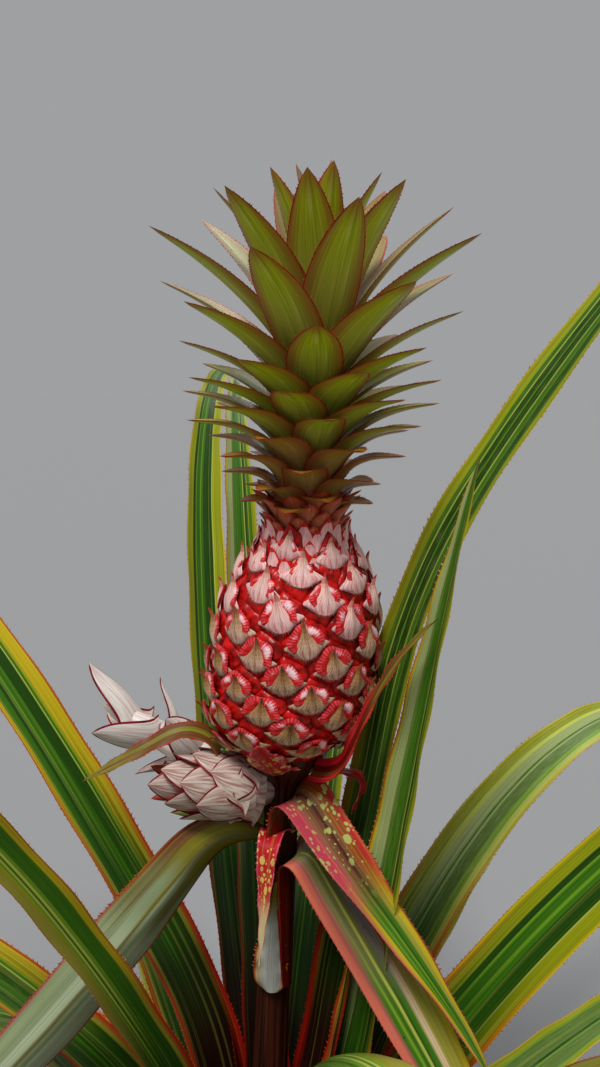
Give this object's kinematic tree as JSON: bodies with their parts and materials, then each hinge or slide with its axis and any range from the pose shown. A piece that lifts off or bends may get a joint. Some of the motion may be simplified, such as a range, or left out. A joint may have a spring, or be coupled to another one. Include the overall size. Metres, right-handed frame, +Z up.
{
  "type": "pineapple plant",
  "caption": "Fruiting pineapple plant with long striped arching leaves, a leaning stalk with red bracts and slips, a red fruit and a tall leafy crown.",
  "frame": {"origin": "middle of the flat cut under the main stem, at ground level", "axes": "+Z up the stem, +X to the side that the fruit stalk leans to, +Y towards the back of the plant"},
  "size_m": [1.1037, 1.0508, 0.8861],
  "materials": {
    "stem": "brown fibrous stem ringed with old leaf scars",
    "stalk": "dark maroon-brown fruit stalk with fine lengthwise ribs",
    "fruit": "glossy red fruitlets with downy pink-beige bracts and pale fringes",
    "crown": "waxy olive-green crown leaves with red toothed margins",
    "slip": "pinkish-white overlapping scale leaves with dark red edges",
    "leaf": "striped green leaf with yellow toothed margins and a maroon base",
    "bract_pink": "pink-margined bract leaf with pale green freckles, green towards the tip",
    "bract_red": "glossy red bract with yellow freckles",
    "bract_olive": "drying olive-brown bract with a red edge"
  },
  "bodies": {
    "root": {"bract_brown_sheath": "bract_red", "bract_curled": "bract_red", "bract_grey_left_base": "leaf", "bract_grey_left_tip": "leaf", "bract_left": "bract_olive", "bract_pink_lower_base": "bract_pink", "bract_pink_lower_tip": "bract_pink", "bract_pink_upper_base": "bract_pink", "bract_pink_upper_tip": "bract_pink", "bract_red_tongue": "bract_red", "bract_right": "bract_olive", "bract_speckled": "bract_red", "crown": "crown", "fruit": "fruit", "fruit_stalk": "stalk", "leaf_arch_right_base": "leaf", "leaf_arch_right_tip": "leaf", "leaf_back_left_base": "leaf", "leaf_back_left_tip": "leaf", "leaf_back_middle_base": "leaf", "leaf_back_middle_tip": "leaf", "leaf_big_left": "leaf", "leaf_far_left": "leaf", "leaf_front_right_base": "leaf", "leaf_front_right_tip": "leaf", "leaf_ground_left": "leaf", "leaf_low_left_base": "leaf", "leaf_low_left_tip": "leaf", "leaf_low_right": "leaf", "leaf_lower_01": "leaf", "leaf_lower_02": "leaf", "leaf_lower_03": "leaf", "leaf_lower_04": "leaf", "leaf_lower_05": "leaf", "leaf_lower_06": "leaf", "leaf_lower_07": "leaf", "leaf_lower_08": "leaf", "leaf_lower_09": "leaf", "leaf_lower_10": "leaf", "leaf_lower_11": "leaf", "leaf_lower_12": "leaf", "leaf_lower_13": "leaf", "leaf_lower_14": "leaf", "leaf_lower_15": "leaf", "leaf_lower_16": "leaf", "leaf_lower_17": "leaf", "leaf_mid_right": "leaf", "leaf_tall_right": "leaf", "slip_back": "slip", "slip_front": "slip", "slip_lower": "slip", "stem": "stem"}
  },
  "joints": []
}
